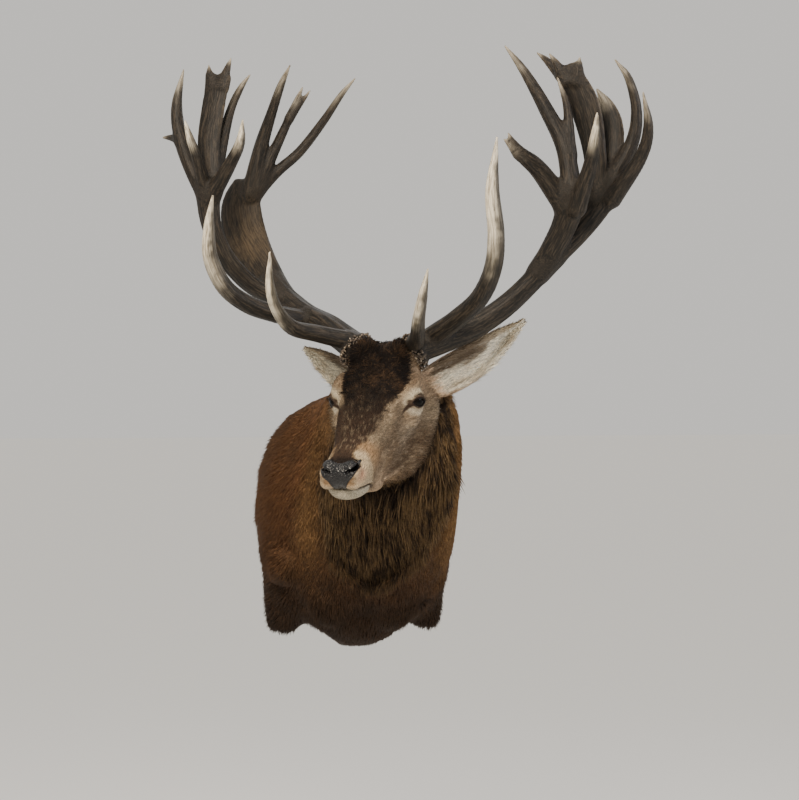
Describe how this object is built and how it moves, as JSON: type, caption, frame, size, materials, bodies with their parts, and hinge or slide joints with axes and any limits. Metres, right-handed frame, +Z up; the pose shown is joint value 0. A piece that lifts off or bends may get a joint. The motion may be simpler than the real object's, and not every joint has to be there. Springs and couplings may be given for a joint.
{
  "type": "red deer stag head mount",
  "caption": "Life-size shoulder mount of a mature red deer stag, head turned aside, with heavy many-tined antlers, on a flat wooden back board for a wall",
  "frame": {"origin": "middle of the back board's flat back face, on the wall plane y = 0", "axes": "+Y into the wall, -Y the way the animal's shoulders face, +X the animal's left, +Z up"},
  "size_m": [0.8696, 0.7158, 1.2193],
  "materials": {
    "board": "oiled, plain",
    "coat": "short reddish brown summer coat",
    "mane": "long grizzled dark brown neck hair",
    "face_fur": "short grey-brown face hair",
    "ear_fur": "short hair, pale inside",
    "nose": "black, glossy, finely pebbled",
    "eye": "dark brown taxidermy glass",
    "antler": "ridged dark bone with ivory tips"
  },
  "bodies": {
    "root": {"back_board": "board", "foreleg_left": "coat", "foreleg_right": "coat", "trunk": "coat", "nose_pad": "nose", "eye_left": "eye", "eye_right": "eye", "lower_jaw": "face_fur", "muzzle": "face_fur", "ear_left": "ear_fur", "ear_right": "ear_fur", "neck": "mane", "head": "face_fur", "antler_left_burr": "antler", "antler_left_beam": "antler", "antler_left_brow_tine": "antler", "antler_left_bey_tine": "antler", "antler_left_rear_palm": "antler", "antler_left_front_palm": "antler", "antler_left_plate": "antler", "antler_left_fin": "antler", "antler_left_rear_tine": "antler", "antler_left_outer_tine": "antler", "antler_left_fork_tine": "antler", "antler_left_high_tine": "antler", "antler_left_short_tine": "antler", "antler_left_fore_tine": "antler", "antler_right_burr": "antler", "antler_right_beam": "antler", "antler_right_brow_tine": "antler", "antler_right_bey_tine": "antler", "antler_right_rear_palm": "antler", "antler_right_front_palm": "antler", "antler_right_front_outer_tine": "antler", "antler_right_front_plate": "antler", "antler_right_white_tine": "antler", "antler_right_front_rear_tine": "antler", "antler_right_inner_tine": "antler", "antler_right_rear_tine": "antler", "antler_right_forked_tine": "antler", "antler_right_long_tine": "antler"}
  },
  "joints": []
}
